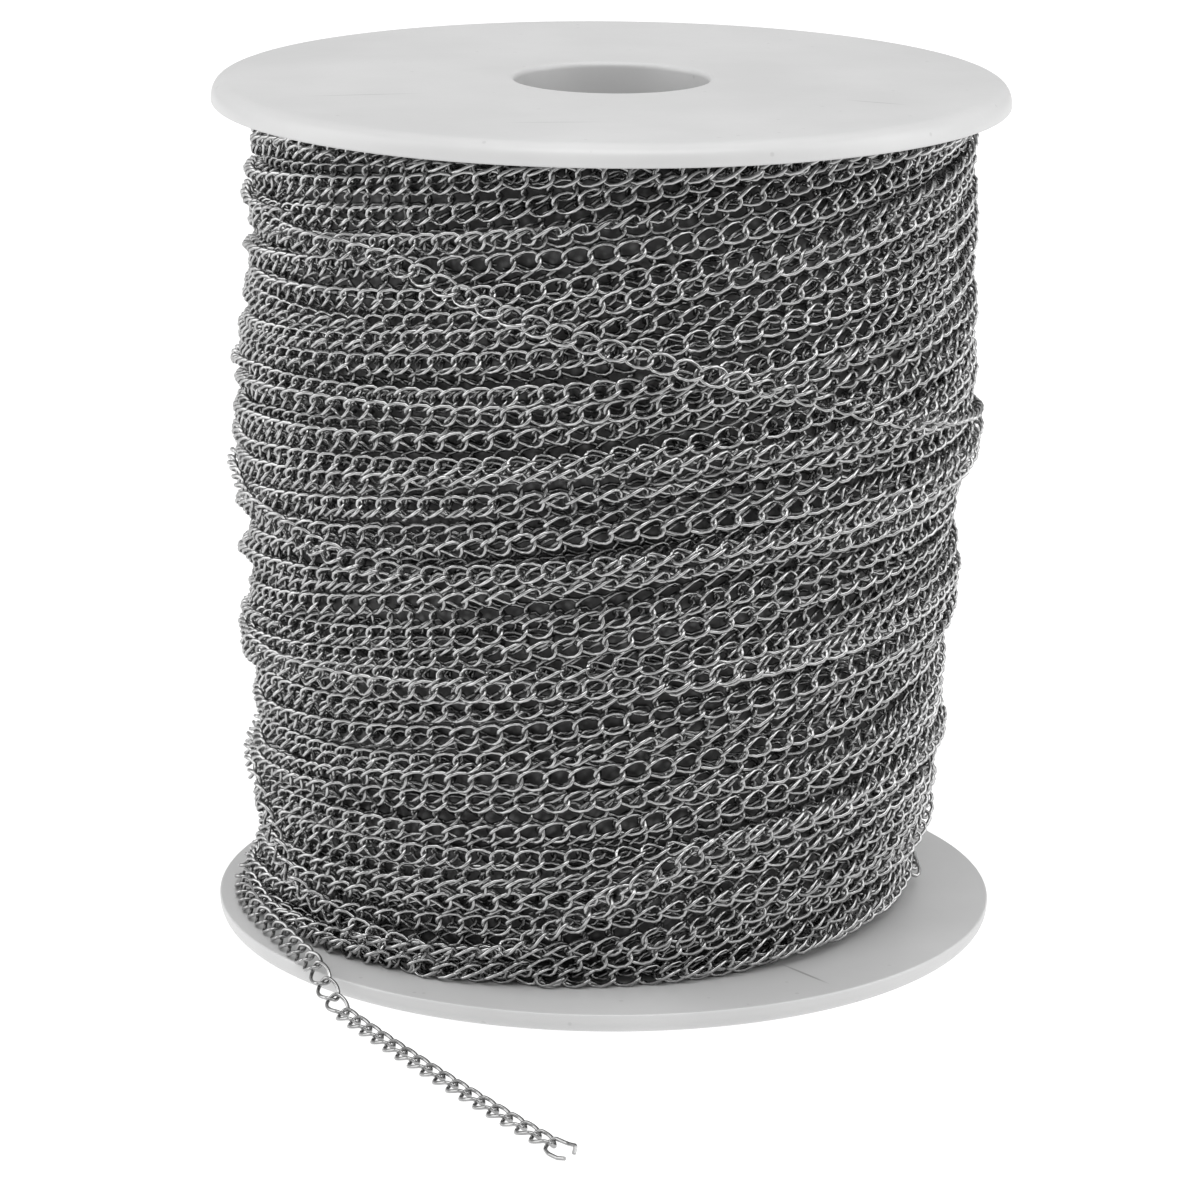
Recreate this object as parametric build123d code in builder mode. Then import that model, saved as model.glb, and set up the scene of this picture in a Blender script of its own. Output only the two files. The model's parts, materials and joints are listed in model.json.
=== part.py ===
from build123d import *
import os
from math import asin, atan2, cos, degrees, hypot, radians, sin, sqrt

# A plastic spool wound with fine twisted curb chain. The spool stands on its lower flange, the
# bore axis is +Z, and the origin is the centre of the bore at the base. The free end of the chain
# hugs the winding on the lower flange, crosses the rim and lies on the table in front (-Y).
# All values are in millimetres and degrees.

# ---- driving dimensions -------------------------------------------------------------------------
flange_diameter = 90.0
flange_thickness = 2.5
rim_rounding = 2.3            # rounding of each flange's outer edge
bore_diameter = 22.0
bore_edge_break = 0.4         # chamfer where the bore meets the outer faces
spool_height = 98.0

tube_wall = 3.0               # core tube, whose inside is the bore
collar_wall = 2.0             # moulded collar on each flange that the tube plugs into
collar_height = 6.0
collar_play = 0.05            # gap between the tube and its collars, filled with cement

winding_play = 0.3            # slack between the first turns and the core tube or collar
inner_layers_radius = 38.0    # outside of the packed lower layers
winding_top_radius = 42.6     # outside of the last turns under the upper flange
winding_waist_radius = 41.8   # and half way down
winding_foot_radius = 40.2    # and on the lower flange

wire_diameter = 0.42          # chain wire
link_length = 3.68            # one link, outside
link_width = 2.62
link_twist = -90.0            # from end to end: negative turns the link like a left-hand screw
link_play = 0.05              # slack between two hooked links
end_bar = 1.44                # width of a link's end loop, corner to corner
end_corner_radius = 0.66
corner_rise_share = 0.8       # how much of an end corner's rise its rounding leaves
side_bow_radius = 2.2

# The cut link's two legs. Each bend: reach past the closed link's end, distance across, rise.
upper_leg_bends = ((-1.38, 1.10, 0.305), (0.45, 0.85, 0.759), (0.95, 0.30, 0.159))
lower_leg_bends = ((-1.38, -1.30, -0.280), (-0.10, -1.05, -0.356), (0.85, -0.75, -0.178))
leg_bend_radii = ((1.5, 0.4), (2.0, 1.0))
cut_link_lift = 0.03          # the cut link lies this much higher, since its ends are bent down

hug_links = 5                 # links that still hug the winding, in one node, held by it
hinged_links = 27             # from there over the rim to the tip, the cut one included
hug_start_angle = -178.0      # where the free end starts, seen from above
hug_reach = 2.1               # from the winding's foot out to the chain's middle line there
rim_overhang = 0.5            # how far out past the rim a link may still lie level
rim_turn = 3.0                # turn from link to link where the chain comes down off the rim
table_turn = 0.3              # and where it lies on the table
rim_drop = 0.36               # height lost from link to link past the rim, as a share of pitch
flange_lean = 45.0            # how far the links lean against the winding
resting_gap = 0.03            # air under a link where it rests

# ---- sizes that follow from them ----------------------------------------------------------------
flange_radius = flange_diameter / 2
bore_radius = bore_diameter / 2
hug_radius = winding_foot_radius + hug_reach
tube_radius = bore_radius + tube_wall
collar_bore_radius = tube_radius + collar_play
collar_radius = collar_bore_radius + collar_wall
upper_face = spool_height - flange_thickness     # inner face of the upper flange
lower_face = flange_thickness                    # inner face of the lower flange

open_link_radii = [
    *reversed(leg_bend_radii[0]),
    end_corner_radius,
    end_corner_radius,
    *leg_bend_radii[1],
]
wire_radius = wire_diameter / 2
half_length = link_length / 2 - wire_radius      # to the middle of the wire
half_width = link_width / 2 - wire_radius
pitch = link_length - 2 * wire_diameter - link_play


# ---- spool --------------------------------------------------------------------------------------
def flange_sketch(outer_z, inward):
    """Half section of a flange with its collar; inward is +1 or -1 along Z from the outer face."""
    inner_z = outer_z + inward * flange_thickness
    collar_z = inner_z + inward * collar_height
    rounding_z = outer_z + inward * rim_rounding
    arc_share = rim_rounding * (1 - sqrt(0.5))
    with BuildSketch(Plane.XZ) as section:
        with BuildLine():
            Polyline(
                (flange_radius - rim_rounding, outer_z),
                (bore_radius + bore_edge_break, outer_z),
                (bore_radius, outer_z + inward * bore_edge_break),
                (bore_radius, inner_z),
                (collar_bore_radius, inner_z),
                (collar_bore_radius, collar_z),
                (collar_radius, collar_z),
                (collar_radius, inner_z),
                (flange_radius, inner_z),
                (flange_radius, rounding_z),
            )
            ThreePointArc(
                (flange_radius, rounding_z),
                (flange_radius - arc_share, outer_z + inward * arc_share),
                (flange_radius - rim_rounding, outer_z),
            )
        make_face()
    return section.sketch


with BuildPart() as lower_flange:
    add(flange_sketch(0, 1))
    revolve(axis=Axis.Z)
lower_flange.part.label = "lower_flange"

with BuildPart() as upper_flange:
    add(flange_sketch(spool_height, -1))
    revolve(axis=Axis.Z)
upper_flange.part.label = "upper_flange"

with BuildPart() as core_tube:
    with BuildSketch(Plane.XY.offset(lower_face)):
        Circle(tube_radius)
        Circle(bore_radius, mode=Mode.SUBTRACT)
    extrude(amount=upper_face - lower_face)
core_tube.part.label = "core_tube"


# ---- wound chain, as two closed solids ----------------------------------------------------------
tube_side = tube_radius + winding_play
collar_side = collar_radius + winding_play
collar_top = lower_face + collar_height + winding_play
collar_bottom = upper_face - collar_height - winding_play

with BuildPart() as wound_chain_inner:
    with BuildSketch(Plane.XZ):
        with BuildLine():
            Polyline(
                (collar_side, lower_face),
                (inner_layers_radius, lower_face),
                (inner_layers_radius, upper_face),
                (collar_side, upper_face),
                (collar_side, collar_bottom),
                (tube_side, collar_bottom),
                (tube_side, collar_top),
                (collar_side, collar_top),
                close=True,
            )
        make_face()
    revolve(axis=Axis.Z)
wound_chain_inner.part.label = "wound_chain_inner"

with BuildPart() as wound_chain_outer:
    with BuildSketch(Plane.XZ):
        with BuildLine():
            ThreePointArc(
                (winding_foot_radius, lower_face),
                (winding_waist_radius, (lower_face + upper_face) / 2),
                (winding_top_radius, upper_face),
            )
            Polyline(
                (winding_top_radius, upper_face),
                (inner_layers_radius, upper_face),
                (inner_layers_radius, lower_face),
                (winding_foot_radius, lower_face),
            )
        make_face()
    revolve(axis=Axis.Z)
wound_chain_outer.part.label = "wound_chain_outer"


# ---- route of the free end ----------------------------------------------------------------------
def rest_height(lean):
    """Height of a link's middle over what it rests on, at a lean from flat, with its gap."""
    end_rise = end_bar / 2 * sin(radians(abs(link_twist) / 2)) * corner_rise_share
    leaning_rise = hypot(half_width * sin(radians(lean)), end_rise * cos(radians(lean)))
    return wire_radius + resting_gap + leaning_rise


def free_end_route():
    """Points where each two links hook, from the first hugging link's near end to the tip."""
    flange_rest = lower_face + rest_height(flange_lean)
    table_rest = rest_height(0)
    angle = radians(hug_start_angle)
    hug_turn = degrees(2 * asin(pitch / 2 / hug_radius))
    heading = hug_start_angle + 90 + hug_turn / 2
    points = [Vector(hug_radius * cos(angle), hug_radius * sin(angle), flange_rest)]
    for number in range(hug_links + hinged_links):
        last = points[-1]
        past_rim = hypot(last.X, last.Y) > flange_radius + rim_overhang
        height = max(table_rest, last.Z - (rim_drop * pitch if past_rim else 0))
        along = sqrt(pitch**2 - (last.Z - height) ** 2)
        step = Vector(along, 0, height - last.Z).rotate(Axis.Z, heading)
        points.append(last + step)
        if number < hug_links:
            heading += hug_turn
        elif past_rim and height > table_rest:
            heading += rim_turn
        elif past_rim:
            heading += table_turn
    return points


def link_plane(start, end):
    """Local X runs along the chain, Y across it towards the spool, Z out of its flat side."""
    flange_rest = lower_face + rest_height(flange_lean)
    table_rest = rest_height(0)
    middle = (start + end) / 2
    along = (end - start).normalized()
    level = Vector(-along.Y, along.X, 0).normalized()
    above = along.cross(level)
    lean = radians(flange_lean * (middle.Z - table_rest) / (flange_rest - table_rest))
    across = level * cos(lean) + above * sin(lean)
    return Plane(origin=middle, x_dir=along, z_dir=along.cross(across))


# ---- links --------------------------------------------------------------------------------------
def bow_corner():
    """Local Y of the side's corner point, so that its rounded side is the full width."""
    rise = end_bar / 2 * sin(radians(abs(link_twist) / 2))
    run = half_length
    inset = end_bar / 2 * cos(radians(link_twist / 2))
    half_turn = atan2(hypot(half_width - inset, rise), run)
    return half_width + side_bow_radius * (1 / cos(half_turn) - 1)


def end_point(side, end):
    """Corner of the end loop: side is +1 or -1 across, end is +1 or -1 along the link."""
    tilt = radians(link_twist / 2) * end
    reach = side * end_bar / 2
    return (end * half_length, reach * cos(tilt), reach * sin(tilt))


def half_link_points(side):
    return [
        (half_length, 0, 0),
        end_point(side, 1),
        (0, side * bow_corner(), 0),
        end_point(side, -1),
        (-half_length, 0, 0),
    ]


def open_link_points():
    """From the upper leg's tip, round the hooked end, to the lower leg's tip."""
    upper, lower = [
        [(half_length + past, across, rise) for past, across, rise in bends]
        for bends in (upper_leg_bends, lower_leg_bends)
    ]
    return [*reversed(upper), end_point(1, -1), end_point(-1, -1), *lower]


def make_link(name, plane):
    """A closed oval of round wire, twisted along its length, swept as its two sides."""
    with BuildPart() as link:
        for side in (1, -1):
            with BuildLine(plane) as route:
                radii = [end_corner_radius, side_bow_radius, end_corner_radius]
                FilletPolyline(*half_link_points(side), radius=radii)
            with BuildSketch(Plane(origin=route.line @ 0, z_dir=route.line % 0)):
                Circle(wire_radius)
            sweep()
    link.part.label = name
    return link.part


def make_open_link(name, plane):
    """The cut link at the tip: its outer end is opened into two free legs."""
    with BuildPart() as link:
        with BuildLine(plane.offset(cut_link_lift)) as route:
            FilletPolyline(*open_link_points(), radius=open_link_radii)
        with BuildSketch(Plane(origin=route.line @ 0, z_dir=route.line % 0)):
            Circle(wire_radius)
        sweep()
    link.part.label = name
    return link.part


hooks = free_end_route()
planes = [link_plane(start, end) for start, end in zip(hooks, hooks[1:])]

with BuildPart() as wound_end_links:
    for plane in planes[:hug_links]:
        add(make_link("wound_end_link", plane))
wound_end_links.part.label = "wound_end_links"

links = [wound_end_links.part]
for number, plane in enumerate(planes[hug_links:-1], start=1):
    links.append(make_link(f"chain_link_{number:02d}", plane))
links.append(make_open_link("open_end_link", planes[-1]))

# ---- one STEP file for each piece ---------------------------------------------------------------
os.makedirs("parts", exist_ok=True)
spool = [lower_flange.part, upper_flange.part, core_tube.part]
for piece in spool + [wound_chain_inner.part, wound_chain_outer.part] + links:
    export_step(piece, f"parts/{piece.label}.step")
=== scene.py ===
import json
from math import cos, pi, radians, sin

import bpy
import numpy as np
from mathutils import Matrix, Vector


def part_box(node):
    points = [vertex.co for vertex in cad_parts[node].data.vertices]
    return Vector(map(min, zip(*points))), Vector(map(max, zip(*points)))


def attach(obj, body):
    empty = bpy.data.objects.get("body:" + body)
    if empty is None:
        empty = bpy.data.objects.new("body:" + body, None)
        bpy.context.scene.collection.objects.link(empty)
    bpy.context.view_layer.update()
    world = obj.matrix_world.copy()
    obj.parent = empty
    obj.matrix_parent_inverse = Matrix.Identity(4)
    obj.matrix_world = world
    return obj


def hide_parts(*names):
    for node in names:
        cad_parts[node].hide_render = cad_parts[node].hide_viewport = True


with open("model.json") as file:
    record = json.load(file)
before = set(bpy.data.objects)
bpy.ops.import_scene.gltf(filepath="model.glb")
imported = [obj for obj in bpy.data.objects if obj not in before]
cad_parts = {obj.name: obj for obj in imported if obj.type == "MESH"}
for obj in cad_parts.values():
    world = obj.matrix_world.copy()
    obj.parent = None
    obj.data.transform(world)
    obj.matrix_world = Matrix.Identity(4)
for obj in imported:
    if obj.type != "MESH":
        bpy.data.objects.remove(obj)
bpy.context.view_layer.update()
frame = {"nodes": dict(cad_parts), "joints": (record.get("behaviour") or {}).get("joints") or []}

# ---- flanges ------------------------------------------------------------------------------------
# Two moulded discs of white styrene, one each way up, with a turned-over outer edge and a collar
# on the inside that takes the core tube. The faces come out of the mould satin smooth, with faint
# flow marks, and pick up fine scratches on the rack.
mm = 0.001
flange_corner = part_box("lower_flange")[1]
flange_radius = flange_corner.x
flange_thickness = 2.5 * mm
collar_top = flange_corner.z
spool_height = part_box("upper_flange")[1].z
bore_radius = 11.0 * mm
tube_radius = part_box("core_tube")[1].x
collar_inside = tube_radius + 0.05 * mm
collar_outside = collar_inside + 2.0 * mm
sharp_corner = radians(35)


def rounded_outline(corners, steps):
    """Closed outline through (r, z, rounding) corners. A rounding replaces its corner with a curve
    that leaves one side that far before the corner and joins the next that far after it: at share
    t it is the mean (1-t)^2, 2t(1-t), t^2 of its start, the corner and its end."""
    points = np.array([corner[:2] for corner in corners], float)
    before, after = np.roll(points, 1, 0) - points, np.roll(points, -1, 0) - points
    outline = []
    for corner, back, ahead, (_, _, rounding) in zip(points, before, after, corners):
        start = corner + back / np.linalg.norm(back) * rounding
        end = corner + ahead / np.linalg.norm(ahead) * rounding
        count = steps if rounding > 0 else 1
        t = np.linspace(0, 1, count)[:, None] if rounding > 0 else np.array([[0.5]])
        outline.append((1 - t) ** 2 * start + 2 * t * (1 - t) * corner + t**2 * end)
    return np.concatenate(outline)


def new_piece(name, vertices, faces):
    """A mesh object in the row frame from arrays of vertices (n, 3) and four-cornered faces."""
    mesh = bpy.data.meshes.new(name)
    mesh.vertices.add(len(vertices))
    mesh.vertices.foreach_set("co", np.asarray(vertices, np.float32).ravel())
    mesh.loops.add(faces.size)
    mesh.loops.foreach_set("vertex_index", faces.astype(np.int32).ravel())
    mesh.polygons.add(len(faces))
    mesh.polygons.foreach_set("loop_start", np.arange(0, faces.size, 4, dtype=np.int32))
    mesh.polygons.foreach_set("use_smooth", np.ones(len(faces), bool))
    mesh.update(calc_edges=True)
    mesh.validate()
    piece = bpy.data.objects.new(name, mesh)
    bpy.context.scene.collection.objects.link(piece)
    return piece


def grid_faces(rows, columns):
    """Faces of a grid that closes on itself both ways: cell (i, j) joins rows i and i + 1 and
    columns j and j + 1, where the last joins the first again."""
    i, j = np.meshgrid(np.arange(rows), np.arange(columns), indexing="ij")
    right, up = (j + 1) % columns, (i + 1) % rows
    corners = (i * columns + j, i * columns + right, up * columns + right, up * columns + j)
    return np.stack(corners, -1).reshape(-1, 4)


def lathe(name, outline, turns):
    """Outline point (r, z) at angle a round the bore lies at (r cos a, r sin a, z). Edges that turn
    by more than sharp_corner are shaded sharp."""
    angle = np.arange(turns) * 2 * pi / turns
    r, z = outline[:, 0][:, None], outline[:, 1][:, None]
    vertices = np.stack([r * np.cos(angle), r * np.sin(angle), z + 0 * angle], -1).reshape(-1, 3)
    piece = new_piece(name, vertices, grid_faces(len(outline), turns))
    piece.data.set_sharp_from_angle(angle=sharp_corner)
    return piece


flange_section = [
    (bore_radius, 0, 0.7 * mm),
    (bore_radius, flange_thickness, 0),
    (collar_inside, flange_thickness, 0),
    (collar_inside, collar_top, 0.2 * mm),
    (collar_outside, collar_top, 0.3 * mm),
    (collar_outside, flange_thickness, 0),
    (flange_radius, flange_thickness, 0.25 * mm),
    (flange_radius, 0, 2.2 * mm),
]
lower_outline = rounded_outline(flange_section, 10)
upper_outline = lower_outline[::-1] * (1, -1) + (0, spool_height)

spool_white = bpy.data.materials.new("spool_white_styrene")
spool_white.use_nodes = True
nodes, wires = spool_white.node_tree.nodes, spool_white.node_tree.links
shader = nodes["Principled BSDF"]
shader.inputs["IOR"].default_value = 1.58
place = nodes.new("ShaderNodeTexCoord")
flow_marks = nodes.new("ShaderNodeTexNoise")
flow_marks.inputs["Scale"].default_value = 45
flow_marks.inputs["Detail"].default_value = 5
flow_tone = nodes.new("ShaderNodeValToRGB")
flow_tone.color_ramp.elements[0].position = 0.35
flow_tone.color_ramp.elements[0].color = (0.50, 0.50, 0.50, 1)
flow_tone.color_ramp.elements[1].position = 0.68
flow_tone.color_ramp.elements[1].color = (0.55, 0.55, 0.55, 1)
dust = nodes.new("ShaderNodeTexVoronoi")
dust.inputs["Scale"].default_value = 260
dust_tone = nodes.new("ShaderNodeValToRGB")
dust_tone.color_ramp.elements[0].position = 0.045
dust_tone.color_ramp.elements[0].color = (0.72, 0.72, 0.72, 1)
dust_tone.color_ramp.elements[1].position = 0.075
dust_tone.color_ramp.elements[1].color = (1, 1, 1, 1)
dusted = nodes.new("ShaderNodeMix")
dusted.data_type = "RGBA"
dusted.blend_type = "MULTIPLY"
dusted.inputs["Factor"].default_value = 0.5
scratches = (
    ((22.4 * mm, -30.9 * mm, flange_thickness), radians(-51.5), 4.6 * mm, 0.24 * mm),
    ((-27.0 * mm, -14.0 * mm, spool_height), radians(12), 7.0 * mm, 0.14 * mm),
    ((29.0 * mm, -16.0 * mm, spool_height), radians(-24), 4.0 * mm, 0.14 * mm),
    ((-6.0 * mm, -31.0 * mm, spool_height), radians(5), 6.0 * mm, 0.12 * mm),
)
scratched = nodes.new("ShaderNodeValue")
scratched.outputs[0].default_value = 0
for middle, direction, half_length, half_width in scratches:
    stretched = nodes.new("ShaderNodeMapping")
    stretched.vector_type = "TEXTURE"
    stretched.inputs["Location"].default_value = middle
    stretched.inputs["Rotation"].default_value = (0, 0, direction)
    stretched.inputs["Scale"].default_value = (half_length, half_width, half_width)
    scratch = nodes.new("ShaderNodeTexGradient")
    scratch.gradient_type = "SPHERICAL"
    both = nodes.new("ShaderNodeMath")
    both.operation = "MAXIMUM"
    wires.new(place.outputs["Object"], stretched.inputs["Vector"])
    wires.new(stretched.outputs["Vector"], scratch.inputs["Vector"])
    wires.new(scratched.outputs[0], both.inputs[0])
    wires.new(scratch.outputs["Fac"], both.inputs[1])
    scratched = both
scratch_tone = nodes.new("ShaderNodeMapRange")
scratch_tone.inputs["From Max"].default_value = 0.5
scratch_tone.inputs["To Min"].default_value = 1.0
scratch_tone.inputs["To Max"].default_value = 0.55
marked = nodes.new("ShaderNodeMix")
marked.data_type = "RGBA"
marked.blend_type = "MULTIPLY"
marked.inputs["Factor"].default_value = 1
polish = nodes.new("ShaderNodeTexNoise")
polish.inputs["Scale"].default_value = 120
polish.inputs["Detail"].default_value = 4
polish_range = nodes.new("ShaderNodeMapRange")
polish_range.inputs["To Min"].default_value = 0.3
polish_range.inputs["To Max"].default_value = 0.46
scuffs = nodes.new("ShaderNodeTexNoise")
scuffs.inputs["Scale"].default_value = 900
scuffs.inputs["Detail"].default_value = 3
scuff_bump = nodes.new("ShaderNodeBump")
scuff_bump.inputs["Strength"].default_value = 0.08
scuff_bump.inputs["Distance"].default_value = 0.0002
for pattern in (flow_marks, dust, polish, scuffs):
    wires.new(place.outputs["Object"], pattern.inputs["Vector"])
wires.new(flow_marks.outputs["Fac"], flow_tone.inputs["Fac"])
wires.new(dust.outputs["Distance"], dust_tone.inputs["Fac"])
wires.new(flow_tone.outputs["Color"], dusted.inputs["A"])
wires.new(dust_tone.outputs["Color"], dusted.inputs["B"])
wires.new(scratched.outputs[0], scratch_tone.inputs["Value"])
wires.new(dusted.outputs["Result"], marked.inputs["A"])
wires.new(scratch_tone.outputs["Result"], marked.inputs["B"])
wires.new(marked.outputs["Result"], shader.inputs["Base Color"])
wires.new(polish.outputs["Fac"], polish_range.inputs["Value"])
wires.new(polish_range.outputs["Result"], shader.inputs["Roughness"])
wires.new(scuffs.outputs["Fac"], scuff_bump.inputs["Height"])
wires.new(scuff_bump.outputs["Normal"], shader.inputs["Normal"])

for name, outline in (("lower", lower_outline), ("upper", upper_outline)):
    flange = lathe(f"{name}_flange_moulding", outline[::-1], 288)
    flange.data.materials.append(spool_white)
    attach(flange, "spool")
    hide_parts(f"{name}_flange")

# ---- core tube ----------------------------------------------------------------------------------
# An extruded tube of the same white styrene, cut to length and cemented into the two collars. Its
# inside is the bore that the spindle goes through, and the winding lies on its outside.
tube_section = [
    (bore_radius, flange_thickness, 0),
    (tube_radius, flange_thickness, 0),
    (tube_radius, spool_height - flange_thickness, 0),
    (bore_radius, spool_height - flange_thickness, 0),
]
tube = lathe("core_tube_wall", rounded_outline(tube_section, 1), 192)
tube.data.materials.append(spool_white)
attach(tube, "spool")
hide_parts("core_tube")

# ---- wound chain --------------------------------------------------------------------------------
# About 100 m of fine twisted curb chain: each link is an oval of round steel wire, twisted a
# quarter turn from end to end so that the hooked links lie flat. Three layers are drawn, each of
# nine steep passes side by side up the spool, with a few loose turns across the outermost.
wire_radius = 0.21 * mm
link_half_length = 1.63 * mm
link_half_width = 1.10 * mm
link_twist = radians(-90)
link_pitch = 2.79 * mm
ride_height = 0.42 * mm
drawn_depth = 3.35 * mm
tight_room = -0.1 * mm
loose_room = 0.9 * mm
own_roll = radians(32)
roll_jitter = radians(6)
oval_power = 2.5
winding_foot = flange_thickness
winding_top = spool_height - flange_thickness
map_columns = 360
map_step = 0.5 * mm
map_rows = int(round((winding_top - winding_foot) / map_step)) + 1
map_angle = np.arange(map_columns) * 2 * pi / map_columns
map_height = winding_foot + np.arange(map_rows) * map_step
dice = np.random.default_rng(27)
sway = dice.uniform(0, 2 * pi, 2)


def finished_radius(angle, height):
    """Outside of the winding: the radius in mm runs between listed values up the spool, with a lump
    above the middle, one list for the side where the chain is drawn off and one for the other,
    mixed by (1 - cos(a + lean_of_sides)) / 2. Below foot_share of the height it runs smoothly to
    the foot's own outline, given at a few angles in degrees."""
    lean_of_sides = radians(15)
    foot_share = 0.06
    share = (height - winding_foot) / (winding_top - winding_foot)
    drawn_off = np.interp(
        share,
        (0, 0.1, 0.14, 0.2, 0.35, 0.45, 0.5, 0.54, 0.6, 0.64, 0.7, 0.76, 0.83, 0.9, 0.96, 1),
        (40.8, 40.8, 41.6, 40.9, 41.6, 42.4, 41.8, 42.6)
        + (43.6, 43.2, 42.7, 42.0, 41.2, 41.3, 40.2, 39.9),
    )
    other = np.interp(
        share,
        (0, 0.07, 0.1, 0.13, 0.22, 0.29, 0.41, 0.48, 0.52, 0.56, 0.6, 0.7, 0.76, 0.83, 0.9, 0.96, 1),
        (34.6, 35.0, 37.0, 38.5, 39.0, 39.8, 39.7, 40.6, 40.0)
        + (40.5, 41.8, 42.6, 42.2, 41.8, 42.2, 40.4, 40.1),
    )
    side = (1 - np.cos(angle + lean_of_sides)) / 2
    upper = other + (drawn_off - other) * side
    foot = np.interp(
        np.degrees(angle) % 360,
        (0, 20, 90, 180, 200, 229, 253, 269, 301, 325, 353, 360),
        (37.0, 38.4, 39.5, 41.6, 41.0, 39.6, 37.4, 35.8, 34.6, 33.6, 35.9, 37.0),
    )
    rise = np.clip(share / foot_share, 0, 1)
    rise = rise * rise * (3 - 2 * rise)
    return (foot + (upper - foot) * rise) * mm


def smooth_wander(turns, size, bends):
    """A slow random wander along the chain: the mean of a few sines of random rate and start."""
    rates = dice.uniform(0.5, 1.6, bends) * np.sqrt(np.arange(1, bends + 1))
    starts = dice.uniform(0, 2 * pi, bends)
    waves = [np.sin(rate * turns * 2 * pi + start) for rate, start in zip(rates, starts)]
    return size * np.mean(waves, 0)


class Winding:
    """The surface wound so far, as a map of its radius over angle and height."""

    def __init__(self):
        angle, height = np.meshgrid(map_angle, map_height, indexing="ij")
        self.radius = finished_radius(angle, height) - drawn_depth

    def rows(self, height):
        return np.clip(np.round((height - winding_foot) / map_step).astype(int), 0, map_rows - 1)

    def support(self, columns, height):
        """What the chain rests on: the fourth highest of fifteen map points under it."""
        found = []
        for along in (-2, 0, 2):
            for across in (-2, -1, 0, 1, 2):
                rows = self.rows(height + across * map_step)
                found.append(self.radius[(columns + along) % map_columns, rows])
        return np.sort(np.array(found), 0)[-4]

    def slope(self, columns, height):
        """Rise of the surface across the chain, from one edge of it to the other, kept within the
        steepest."""
        reach = 2 * map_step
        steepest = 0.8
        above = self.radius[columns % map_columns, self.rows(height + reach)]
        below = self.radius[columns % map_columns, self.rows(height - reach)]
        return np.clip((above - below) / (2 * reach), -steepest, steepest)

    def lay(self, columns, height, radius):
        """The chain fills the map to ride_height over its own middle, less edge_drop times the
        square of the distance across over half_across."""
        edge_drop = 0.5 * mm
        half_across = 1.3 * mm
        for across in range(-2, 3):
            rows = self.rows(height + across * map_step)
            filled = radius + ride_height - edge_drop * (across * map_step / half_across) ** 2
            np.maximum.at(self.radius, (columns % map_columns, rows), filled)


def pull_tight(line, pulls):
    """Each pull lifts the line to the mean of its neighbours where it lies below that."""
    for _ in range(pulls):
        mean = line.copy()
        mean[1:-1] = (line[:-2] + line[2:]) / 2
        line = np.maximum(line, mean)
    return line


def soften(line, reach):
    """Mean over reach points to each side, weighted by a raised cosine."""
    weights = np.hanning(2 * reach + 3)[1:-1]
    padded = np.pad(line, reach, mode="edge")
    return np.convolve(padded, weights / weights.sum(), "valid")


def wind(winding, turns, height, room=tight_room):
    """Lays one pass on the winding, a turn at a time, and returns its line in space. turns counts
    from the seam at the back and height is the line's height there, both at the map's columns. The
    pull of the turns presses the line in to the finished radius plus room where it stands higher."""
    overlap, pulls, reach = 24, 14, 5
    columns = np.round(turns * map_columns).astype(int)
    radius = np.zeros(len(turns))
    slope = np.zeros(len(turns))
    laid = 0
    for start in range(0, len(turns), map_columns):
        end = min(start + map_columns + overlap, len(turns))
        part = slice(start, end)
        rests = winding.support(columns[part], height[part]) + ride_height
        most = finished_radius(turns[part] * 2 * pi, height[part]) + room
        line = soften(np.minimum(pull_tight(rests, pulls), most), reach)
        lean = soften(winding.slope(columns[part], height[part]), reach)
        if start:
            fade = np.linspace(0, 1, overlap)[: end - start]
            shared = slice(start, start + len(fade))
            line[: len(fade)] = radius[shared] * (1 - fade) + line[: len(fade)] * fade
            lean[: len(fade)] = slope[shared] * (1 - fade) + lean[: len(fade)] * fade
        radius[part], slope[part] = line, lean
        fresh = slice(laid, max(laid, min(end - overlap, len(turns))) if end < len(turns) else end)
        winding.lay(columns[fresh], height[fresh], radius[fresh])
        laid = fresh.stop
    angle = turns * 2 * pi
    line = np.stack([radius * np.cos(angle), radius * np.sin(angle), height], -1)
    return line, slope


def hook_points(line, slope):
    """Points one pitch apart along the line, measured along it from its end, with the slope at
    each."""
    run = np.concatenate([[0], np.cumsum(np.linalg.norm(np.diff(line, axis=0), axis=1))])
    at = np.arange(run[-1], 0, -link_pitch)[::-1]
    return np.stack([np.interp(at, run, line[:, k]) for k in range(3)], -1), np.interp(at, run, slope)


def link_frames(line, slope, end_roll=None):
    """Middle, lengthwise and crosswise direction of each link between two hook points. The link
    rolls with a share of the slope under it and with a roll of its own, which changes slowly along
    the chain, and the last ones turn to end_roll."""
    slope_share, roll_reach, turning_links = 0.7, 7, 8
    hooks, lean = hook_points(line, slope)
    middle = (hooks[1:] + hooks[:-1]) / 2
    along = np.diff(hooks, axis=0)
    along /= np.linalg.norm(along, axis=1)[:, None]
    outward = middle * (1, 1, 0)
    outward /= np.linalg.norm(outward, axis=1)[:, None]
    across = np.cross(outward, along)
    across /= np.linalg.norm(across, axis=1)[:, None]
    outward = np.cross(along, across)
    count = len(middle)
    own = soften(dice.normal(0, 1, count), roll_reach)
    own = own / own.std() * own_roll + dice.normal(0, roll_jitter, count)
    roll = np.arctan(lean[1:]) * slope_share + own
    if end_roll is not None:
        turning = np.clip((np.arange(count) - count + turning_links + 1) / turning_links, 0, 1)
        roll = roll * (1 - turning) + end_roll * turning
    roll = roll[:, None]
    rolled = across * np.cos(roll) + outward * np.sin(roll)
    return middle, along, rolled


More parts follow.
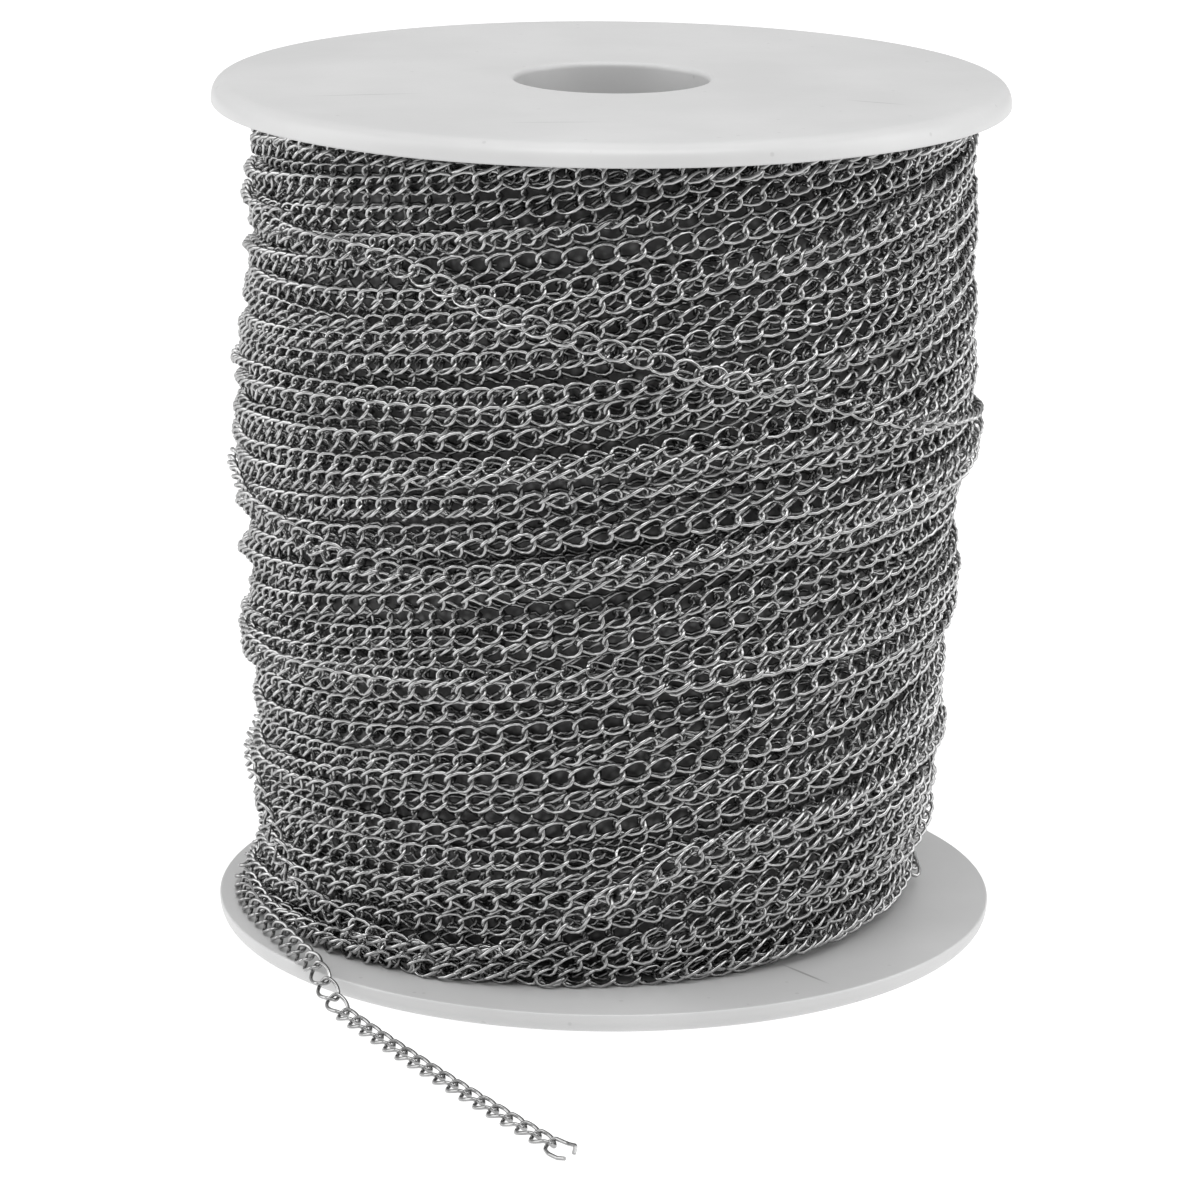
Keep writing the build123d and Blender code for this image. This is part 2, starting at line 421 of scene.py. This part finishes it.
def link_shape(rings, sides):
    """One link as a grid of rings x sides points in its own axes. Its middle line is the full oval
    |x / a|^p + |y / b|^p = 1, where p is oval_power, turned about the long axis by half the twist
    times x / a. Each ring is a polygon as far round as the wire, square to that line."""
    power = 2 / oval_power
    t = (np.arange(rings) + 0.5) * 2 * pi / rings
    x = link_half_length * np.sign(np.cos(t)) * np.abs(np.cos(t)) ** power
    y = link_half_width * np.sign(np.sin(t)) * np.abs(np.sin(t)) ** power
    turn = link_twist / 2 * x / link_half_length
    line = np.stack([x, y * np.cos(turn), y * np.sin(turn)], -1)
    ahead = np.roll(line, -1, 0) - np.roll(line, 1, 0)
    ahead /= np.linalg.norm(ahead, axis=1)[:, None]
    aside = np.sin(t) / link_half_width
    outward = np.stack([np.cos(t) / link_half_length, aside * np.cos(turn), aside * np.sin(turn)], -1)
    outward -= (outward * ahead).sum(1)[:, None] * ahead
    outward /= np.linalg.norm(outward, axis=1)[:, None]
    beside = np.cross(ahead, outward)
    s = np.arange(sides) * 2 * pi / sides
    ring = np.cos(s)[:, None, None] * outward + np.sin(s)[:, None, None] * beside
    reach = wire_radius * (pi / sides) / sin(pi / sides)
    return (line + reach * ring).transpose(1, 0, 2)


def chain_piece(name, middle, along, across, rings, sides, darkest):
    """All the links of one stretch of chain as one mesh, with a map of their surface for the
    finish, where each link has its own cell of a square grid with a margin round it, and with a
    random tone each, from darkest to 1, times the root of darkest. A low darkest is painted shade:
    the deeper layers are given a lower one, so that their links come out darker."""
    margin = 0.05
    outward = np.cross(along, across)
    shape = link_shape(rings, sides).reshape(-1, 3)
    axes = np.stack([along, across, outward], 1)
    vertices = middle[:, None, :] + np.einsum("pk,nkc->npc", shape, axes)
    count, per_link = len(middle), rings * sides
    faces = grid_faces(rings, sides)[:, ::-1]
    all_faces = (faces[None] + np.arange(count)[:, None, None] * per_link).reshape(-1, 4)
    piece = new_piece(name, vertices.reshape(-1, 3), all_faces)
    cells = int(np.ceil(np.sqrt(count)))
    i, j = np.meshgrid(np.arange(rings), np.arange(sides), indexing="ij")
    u = np.stack([i, i, i + 1, i + 1], -1).reshape(-1, 4)[:, ::-1] / rings
    v = np.stack([j, j + 1, j + 1, j], -1).reshape(-1, 4)[:, ::-1] / sides
    corner = np.stack([u, v], -1) * (1 - 2 * margin) + margin
    cell = np.stack([np.arange(count) % cells, np.arange(count) // cells], -1)
    uv = (corner[None] + cell[:, None, None, :]) / cells
    layer = piece.data.uv_layers.new(name="OFBake")
    layer.data.foreach_set("uv", uv.astype(np.float32).ravel())
    tone = piece.data.attributes.new("link_tone_and_depth_shade", "FLOAT", "POINT")
    # Random tone per link, scaled down with darkest: the lower darkest of the deeper layers is painted
    # shade on them.
    tones = darkest + (1 - darkest) * dice.random(count)
    tone.data.foreach_set("value", np.repeat(tones * darkest**0.5, per_link).astype(np.float32))
    return piece


chain_steel = bpy.data.materials.new("chain_bright_steel_wire")
chain_steel.use_nodes = True
nodes, wires = chain_steel.node_tree.nodes, chain_steel.node_tree.links
shader = nodes["Principled BSDF"]
shader.inputs["Metallic"].default_value = 1
place = nodes.new("ShaderNodeTexCoord")
link_tone_and_depth_shade = nodes.new("ShaderNodeAttribute")
link_tone_and_depth_shade.attribute_name = "link_tone_and_depth_shade"
tarnish = nodes.new("ShaderNodeTexNoise")
tarnish.inputs["Scale"].default_value = 700
tarnish.inputs["Detail"].default_value = 3
tarnish_tone = nodes.new("ShaderNodeValToRGB")
tarnish_tone.color_ramp.elements[0].position = 0.3
tarnish_tone.color_ramp.elements[0].color = (0.38, 0.38, 0.38, 1)
tarnish_tone.color_ramp.elements[1].position = 0.7
tarnish_tone.color_ramp.elements[1].color = (0.58, 0.58, 0.58, 1)
# Scales the base colour by each link's tone, which is random per link plus painted shade that darkens the
# deeper layers.
batch_tone_and_painted_depth_shade = nodes.new("ShaderNodeMapRange")
batch_tone_and_painted_depth_shade.name = "batch_tone_and_painted_depth_shade"
batch_tone_and_painted_depth_shade.inputs["To Min"].default_value = 0.3
batch_tone_and_painted_depth_shade.inputs["To Max"].default_value = 1.0
shaded = nodes.new("ShaderNodeMix")
shaded.data_type = "RGBA"
shaded.blend_type = "MULTIPLY"
shaded.inputs["Factor"].default_value = 1
drawn = nodes.new("ShaderNodeTexNoise")
drawn.inputs["Scale"].default_value = 2600
drawn.inputs["Detail"].default_value = 2
drawn_range = nodes.new("ShaderNodeMapRange")
drawn_range.inputs["To Min"].default_value = 0.12
drawn_range.inputs["To Max"].default_value = 0.27
drawn_bump = nodes.new("ShaderNodeBump")
drawn_bump.inputs["Strength"].default_value = 0.15
drawn_bump.inputs["Distance"].default_value = 0.00003
for pattern in (tarnish, drawn):
    wires.new(place.outputs["Object"], pattern.inputs["Vector"])
wires.new(tarnish.outputs["Fac"], tarnish_tone.inputs["Fac"])
wires.new(link_tone_and_depth_shade.outputs["Fac"], batch_tone_and_painted_depth_shade.inputs["Value"])
wires.new(tarnish_tone.outputs["Color"], shaded.inputs["A"])
wires.new(batch_tone_and_painted_depth_shade.outputs["Result"], shaded.inputs["B"])
wires.new(shaded.outputs["Result"], shader.inputs["Base Color"])
wires.new(drawn.outputs["Fac"], drawn_range.inputs["Value"])
wires.new(drawn_range.outputs["Result"], shader.inputs["Roughness"])
wires.new(drawn.outputs["Fac"], drawn_bump.inputs["Height"])
wires.new(drawn_bump.outputs["Normal"], shader.inputs["Normal"])

edge_room = 1.15 * mm
lowest, highest = winding_foot + edge_room, winding_top - edge_room
sway_height = 0.6 * mm
front_rise = 1.2 * mm
wander_gain = 2.2


def traverse(passes, lead, start, wander):
    """The lines of one layer: passes side by side, each of which runs level along the lower flange,
    climbs by lead on each turn and runs level along the upper one. A wave of front_rise once round
    tips the turns, all layers sway together by two more, and each pass wanders on its own."""
    climb_turns = (highest - lowest) / lead
    level_turns = 1 / passes
    for number in range(passes):
        first = round((start + number / passes) * map_columns) / map_columns
        turns = first + np.arange(int((climb_turns + 2 * level_turns) * map_columns)) / map_columns
        climbed = np.clip((turns - first - level_turns) / climb_turns, 0, 1) * (highest - lowest)
        around = 2 * pi * turns
        swayed = np.sin(around + sway[0] + climbed / (9 * mm))
        swayed = swayed + np.sin(2 * around + sway[1] - climbed / (14 * mm))
        height = lowest + climbed + swayed * sway_height + np.sin(around + pi / 2) * front_rise
        height = height + smooth_wander(turns, wander, 5) * wander_gain
        yield turns, np.clip(soften(height, 12), lowest, highest)


def crossing(turns_at, heights_at):
    """A loose turn: its height in mm runs smoothly between a few listed points."""
    first, last = round(turns_at[0] * map_columns), round(turns_at[-1] * map_columns)
    turns = np.arange(first, last + 1) / map_columns
    height = soften(np.interp(turns, turns_at, np.array(heights_at) * mm), 14)
    return turns, np.clip(height, lowest, highest)


winding = Winding()
stretches, layer_ends = [], []
passes, lead = 9, 25 * mm
for start, wander in ((0.1, 0.25 * mm), (0.1 + 0.5 / passes, 0.6 * mm), (0.1, 0.65 * mm)):
    for turns, height in traverse(passes, lead, start, wander):
        stretches.append(link_frames(*wind(winding, turns, height)))
    layer_ends.append(len(stretches))
loose_turns = [
    ((0.35, 0.60, 0.65, 0.72, 0.81, 0.90, 1.0, 1.15), (86, 83.5, 84, 77.7, 71.5, 64.1, 60, 58)),
    ((0.44, 0.53, 0.555, 0.575, 0.62, 0.70, 0.79, 0.95, 1.2), (22, 18, 15, 9, 6.5, 6.0, 19.2, 24, 22)),
    ((0.20, 0.55, 0.66, 0.78, 1.0, 1.2), (60, 52, 49, 53, 58, 57)),
    ((0.40, 0.60, 0.75, 0.95, 1.25), (33, 35, 38, 42, 40)),
]
for turns_at, heights_at in loose_turns:
    turns, height = crossing(turns_at, heights_at)
    stretches.append(link_frames(*wind(winding, turns, height, loose_room)))

most_links = 1250
wound = []
# The last number of each layer is its darkest: the deeper the layer, the lower it is, so the deeper links
# are painted darker as shade.
layer_looks = (
    (stretches[: layer_ends[0]], 10, 4, 0.3),
    (stretches[layer_ends[0] : layer_ends[1]], 14, 5, 0.5),
    (stretches[layer_ends[1] :], 14, 5, 0.8),
)
for part, rings, sides, darkest in layer_looks:
    middle, along, across = (np.concatenate(column) for column in zip(*part))
    for links in np.array_split(np.arange(len(middle)), int(np.ceil(len(middle) / most_links))):
        name = f"wound_chain_{len(wound) + 1:02d}"
        piece = chain_piece(name, middle[links], along[links], across[links], rings, sides, darkest)
        piece.data.materials.append(chain_steel)
        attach(piece, "spool")
        wound.append(piece)
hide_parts("wound_chain_outer")

# ---- lower layers -------------------------------------------------------------------------------
# The same chain, some fifteen layers deep, of which only the dark hollows between the outer links
# show. It is one closed drum whose outside has the bumps of the links pressed into each other.
drum_columns, drum_rows = 720, 190
drum_depth = 3.6 * mm
bump_height = 0.28 * mm
angle = np.arange(drum_columns) * 2 * pi / drum_columns
height = np.linspace(winding_foot, winding_top, drum_rows)
a, h = np.meshgrid(angle, height, indexing="xy")
bumps = bump_height * np.sin(a * 94 + h / mm * 0.9) * np.sin(h / mm * 2.4 + 0.8 * np.sin(a * 3))
outside = finished_radius(a, h) - drum_depth + bumps
inside = np.full((2, drum_columns), collar_outside + 0.3 * mm)
drum_radius = np.concatenate([outside, inside])
drum_height = np.concatenate([h, [h[-1], h[0]]])
drum_angle = np.concatenate([a, a[:2]])
drum_x, drum_y = drum_radius * np.cos(drum_angle), drum_radius * np.sin(drum_angle)
drum_vertices = np.stack([drum_x, drum_y, drum_height], -1)
drum = new_piece("lower_layers", drum_vertices.reshape(-1, 3), grid_faces(drum_rows + 2, drum_columns))
packed_steel = bpy.data.materials.new("packed_chain_in_shadow")
packed_steel.use_nodes = True
nodes, wires = packed_steel.node_tree.nodes, packed_steel.node_tree.links
shader = nodes["Principled BSDF"]
shader.inputs["Metallic"].default_value = 0.6
shader.inputs["Roughness"].default_value = 0.6
place = nodes.new("ShaderNodeTexCoord")
packing = nodes.new("ShaderNodeTexVoronoi")
packing.inputs["Scale"].default_value = 900
# Dark steel colour: painted shade of the hollows inside the packed lower layers.
packing_tone = nodes.new("ShaderNodeValToRGB")
packing_tone.color_ramp.elements[0].color = (0.3, 0.3, 0.3, 1)
packing_tone.color_ramp.elements[1].position = 0.5
packing_tone.color_ramp.elements[1].color = (0.12, 0.12, 0.12, 1)
wires.new(place.outputs["Object"], packing.inputs["Vector"])
wires.new(packing.outputs["Distance"], packing_tone.inputs["Fac"])
wires.new(packing_tone.outputs["Color"], shader.inputs["Base Color"])
drum.data.materials.append(packed_steel)
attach(drum, "spool")
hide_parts("wound_chain_inner")

# ---- free end -----------------------------------------------------------------------------------
# The chain comes down to five links that hug the foot of the winding, and leads on over the flange
# to the table as single hooked links of the same wire. The last one is cut and bent open.
hug_start = radians(-178)
hug_radius = 42.3 * mm
flange_rest = frame["joints"][0]["pos_m"][2]
flange_lean = radians(45)
hug_turn = 182 / 360
joining_points = 70
free_end_tone = 0.72
turns, height = crossing((0.12, 0.28, 0.40, 0.46, hug_turn), (26, 19, 11, 6.5, 3.6))
line, slope = wind(winding, turns, height)
first_hook = np.array([hug_radius * cos(hug_start), hug_radius * sin(hug_start), flange_rest])
joining = np.linspace(0, 1, joining_points)[:, None] ** 2
line[-joining_points:] += joining * (first_hook - line[-1])
lead_in = chain_piece("chain_led_off_the_winding", *link_frames(line, slope, -flange_lean), 20, 7, 0.8)
lead_in.data.materials.append(chain_steel)
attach(lead_in, "spool")

free_steel = chain_steel.copy()
free_steel.name = "chain_bright_steel_wire_free_end"
free_steel.node_tree.nodes["batch_tone_and_painted_depth_shade"].inputs["To Min"].default_value = free_end_tone
free_end = ["wound_end_links", "open_end_link"] + [n for n in frame["nodes"] if n.startswith("chain_link_")]
for name in free_end:
    frame["nodes"][name].data.materials.clear()
    frame["nodes"][name].data.materials.append(free_steel)

# ---- table, lights and camera -------------------------------------------------------------------
# A white table, darker where the bore is seen through, two large soft lights at the sides and two
# above, and a long lens from a little above the spool.
table_half = 3.0
table_corners = [(-1, -1), (1, -1), (1, 1), (-1, 1)]
table_mesh = bpy.data.meshes.new("table")
table_mesh.from_pydata([(x * table_half, y * table_half, 0) for x, y in table_corners], [], [(0, 1, 2, 3)])
table = bpy.data.objects.new("table", table_mesh)
bpy.context.scene.collection.objects.link(table)
table_white = bpy.data.materials.new("table_white")
table_white.use_nodes = True
shader = table_white.node_tree.nodes["Principled BSDF"]
shader.inputs["Base Color"].default_value = (0.2, 0.2, 0.2, 1)
shader.inputs["Roughness"].default_value = 0.9
shader.inputs["Emission Color"].default_value = (1, 1, 1, 1)
shader.inputs["Emission Strength"].default_value = 0.94
table.data.materials.append(table_white)

disc_radius, disc_height, disc_sides = bore_radius - 0.2 * mm, 0.02 * mm, 48
disc_angles = [k * 2 * pi / disc_sides for k in range(disc_sides)]
disc_ring = [(disc_radius * cos(turned), disc_radius * sin(turned), disc_height) for turned in disc_angles]
disc_mesh = bpy.data.meshes.new("table_under_bore")
disc_mesh.from_pydata(disc_ring, [], [tuple(range(disc_sides))])
under_bore = bpy.data.objects.new("table_under_bore", disc_mesh)
bpy.context.scene.collection.objects.link(under_bore)
shaded_white = bpy.data.materials.new("table_white_in_shade")
shaded_white.use_nodes = True
shader = shaded_white.node_tree.nodes["Principled BSDF"]
shader.inputs["Base Color"].default_value = (0.8, 0.8, 0.8, 1)
shader.inputs["Roughness"].default_value = 0.9
under_bore.data.materials.append(shaded_white)

spool_middle = Vector((0, 0, spool_height / 2))
lights = [
    ("left_light", (-0.75, -0.05, 0.32), (0.6, 0.9), 3.3),
    ("right_light", (0.75, -0.05, 0.32), (0.6, 0.9), 3.2),
    ("top_light", (0.0, 0.10, 0.95), (1.0, 1.0), 2.1),
    ("front_top_light", (0.0, -0.50, 0.85), (0.9, 0.4), 3.8),
]
for name, place_at, (width, depth), power in lights:
    lamp = bpy.data.lights.new(name, "AREA")
    lamp.shape = "RECTANGLE"
    lamp.size, lamp.size_y, lamp.energy = width, depth, power
    light = bpy.data.objects.new(name, lamp)
    light.location = place_at
    light.rotation_euler = (spool_middle - Vector(place_at)).to_track_quat("-Z", "Y").to_euler()
    bpy.context.scene.collection.objects.link(light)

world = bpy.data.worlds.new("studio")
world.use_nodes = True
world.node_tree.nodes["Background"].inputs["Color"].default_value = (1, 1, 1, 1)
world.node_tree.nodes["Background"].inputs["Strength"].default_value = 0.57
bpy.context.scene.world = world
bpy.context.scene.view_settings.view_transform = "Standard"

camera_data = bpy.data.cameras.new("camera")
camera_data.lens, camera_data.sensor_width = 144.96, 36
camera_data.clip_start = 0.01
camera = bpy.data.objects.new("camera", camera_data)
look_down, tilt = 0.2643, 0.0094
camera_place = (-0.0007475, -0.540, 0.1831845)
camera.matrix_world = (
    Matrix.Translation(camera_place)
    @ Matrix.Rotation(pi / 2 - look_down, 4, "X")
    @ Matrix.Rotation(tilt, 4, "Z")
)
bpy.context.scene.collection.objects.link(camera)
bpy.context.scene.camera = camera

bpy.context.view_layer.update()
